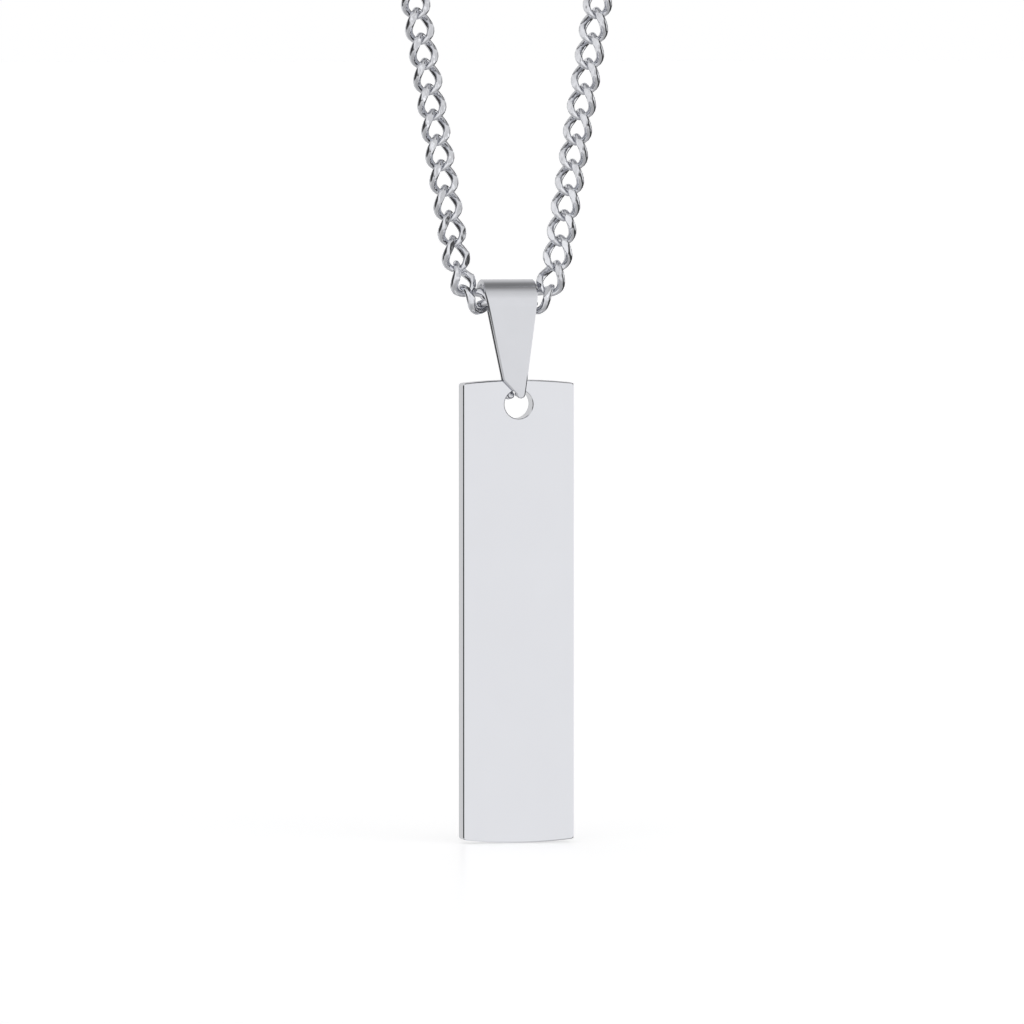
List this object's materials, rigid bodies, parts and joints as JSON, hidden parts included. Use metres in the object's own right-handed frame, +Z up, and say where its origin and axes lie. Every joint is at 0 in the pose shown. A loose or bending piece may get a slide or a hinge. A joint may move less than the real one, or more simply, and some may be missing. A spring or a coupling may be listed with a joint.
{
  "type": "bar pendant necklace",
  "caption": "Plain vertical steel bar with a drilled hole, pinned in a folded bail that hangs from a closed curb chain with a lobster-style clasp.",
  "frame": {"origin": "where the neck carries the loop, under the middle of the clasp", "axes": "+Z up, against the pull of the hanging bar; the loop lies in the XZ plane; -Y is the front, from which the bar's polished face is seen; +X to the right in front view"},
  "size_m": [0.0714, 0.0044, 0.2743],
  "materials": {
    "bar_steel": "mirror polished stainless steel",
    "bail_steel": "polished stainless steel strip",
    "chain_steel": "polished stainless steel wire with filed flats",
    "clasp_steel": "polished stainless steel"
  },
  "bodies": {
    "chain": {"chain_left": "chain_steel", "chain_right": "chain_steel", "chain_back": "chain_steel", "clasp": "clasp_steel", "jump_ring": "chain_steel"},
    "bail": {"bail": "bail_steel"},
    "bar": {"bar": "bar_steel"}
  },
  "joints": [
    {"name": "bail_swing", "type": "hinge", "parent": "chain", "child": "bail", "pos_m": [0, 0, -0.22224], "axis": [1, 0, 0], "range_deg": [-60, 60]},
    {"name": "bar_swing", "type": "hinge", "parent": "bail", "child": "bar", "pos_m": [0.00086, 0, -0.23084], "axis": [0, 1, 0], "range_deg": [-75, 75]}
  ]
}
